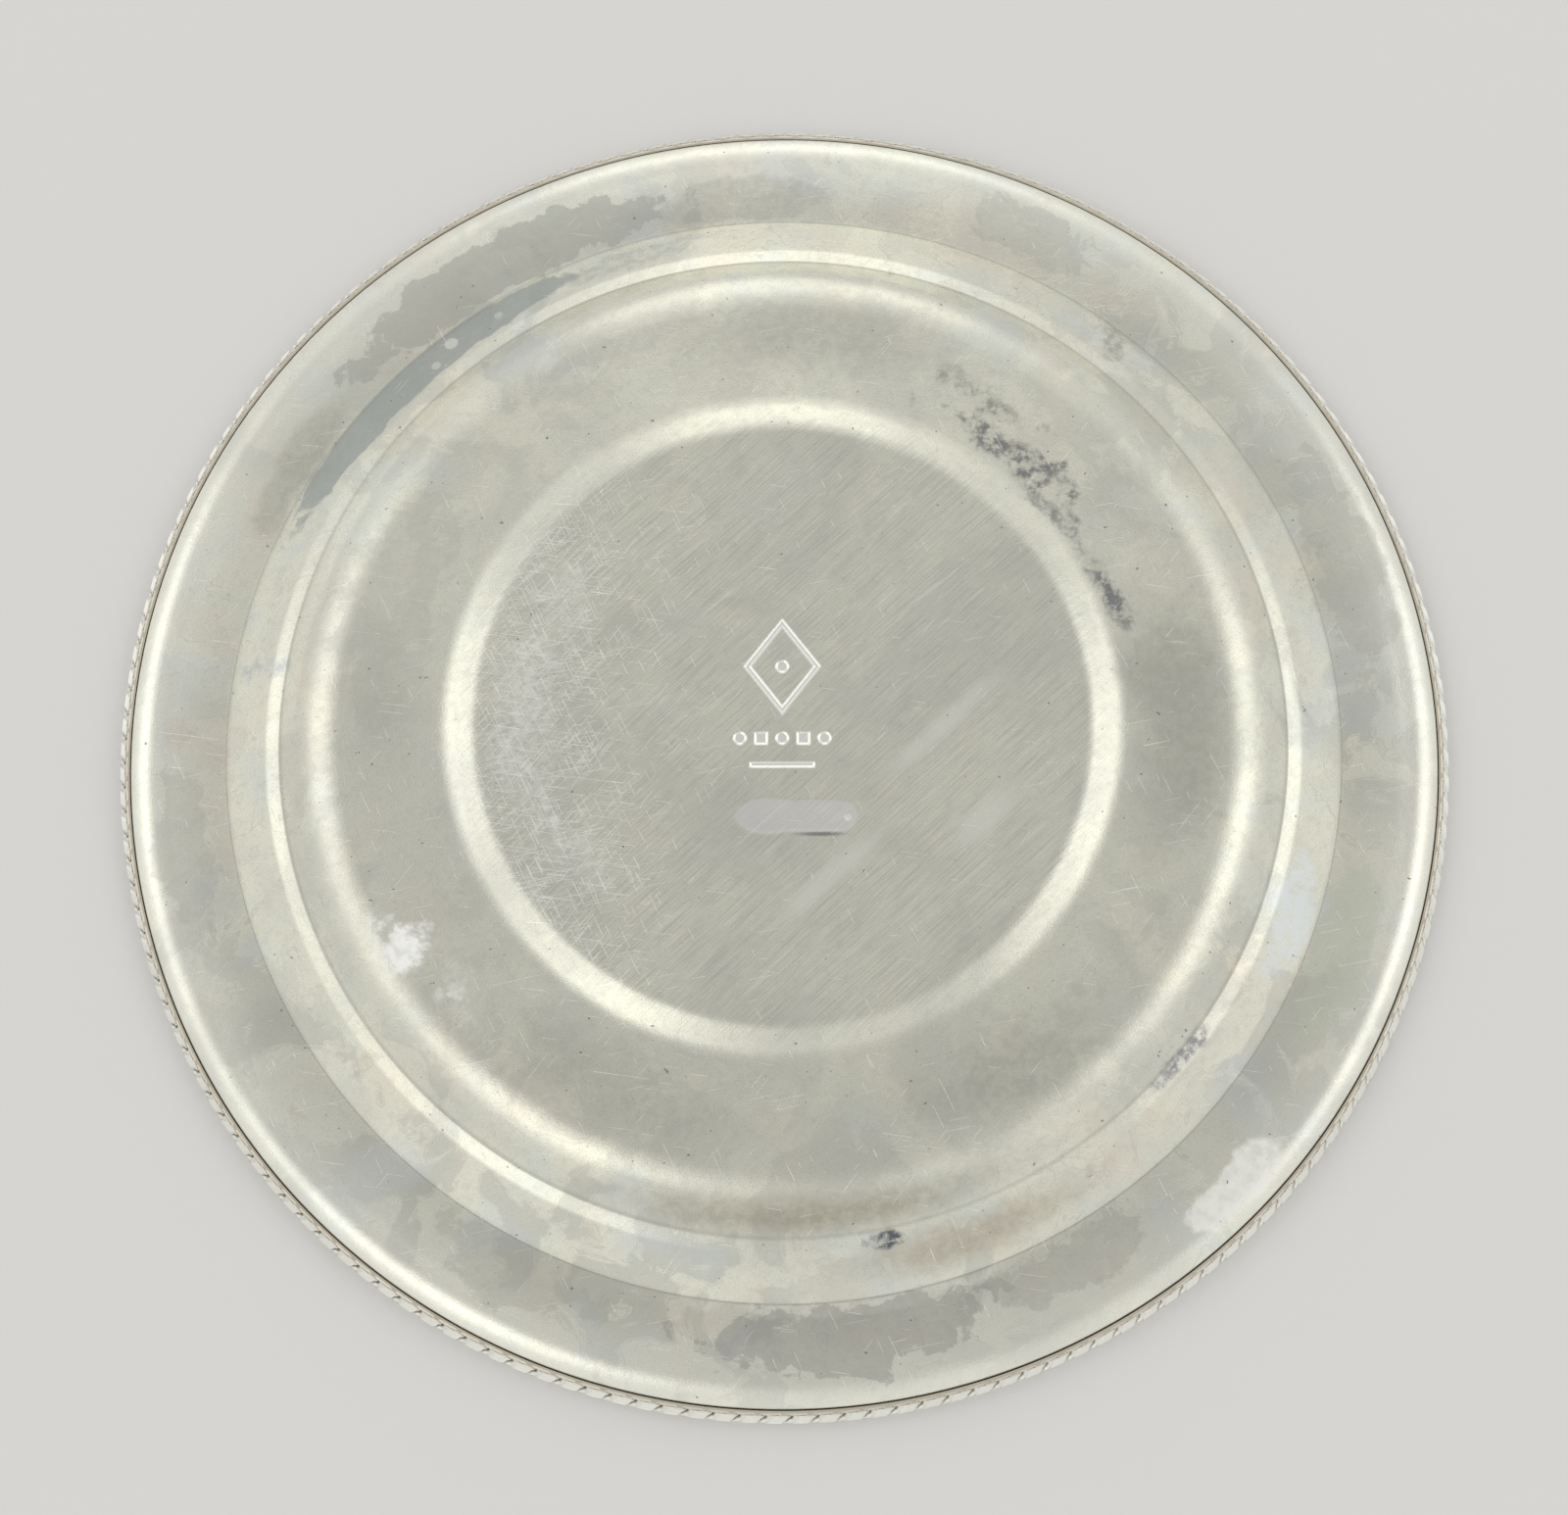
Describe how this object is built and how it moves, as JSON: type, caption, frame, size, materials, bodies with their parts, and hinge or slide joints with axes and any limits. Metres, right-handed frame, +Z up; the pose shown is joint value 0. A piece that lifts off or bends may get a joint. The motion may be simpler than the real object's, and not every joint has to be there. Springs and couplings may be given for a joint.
{
  "type": "serving salver",
  "caption": "Small round footless salver: a spun, stepped metal dish with a twisted rope border round its rim, for serving a glass, a card or sweets.",
  "frame": {"origin": "centre of the resting face: the dish's axis where it meets the surface it stands on", "axes": "+Z up along the dish's axis, out of its open face; X and Y are free, because the salver is round, and the mark under the foot reads with its top towards +Y"},
  "size_m": [0.1518, 0.1518, 0.0155],
  "materials": {
    "dish_metal": "worn, softly brushed grey-white metal with blotchy tarnish and fine scratches",
    "border_metal": "cast metal, bright on its crests and dark in the pits between leaves",
    "solder": "dull dark grey solder"
  },
  "bodies": {
    "root": {"dish": "dish_metal", "rope_border": "border_metal", "solder_bead": "solder"}
  },
  "joints": []
}
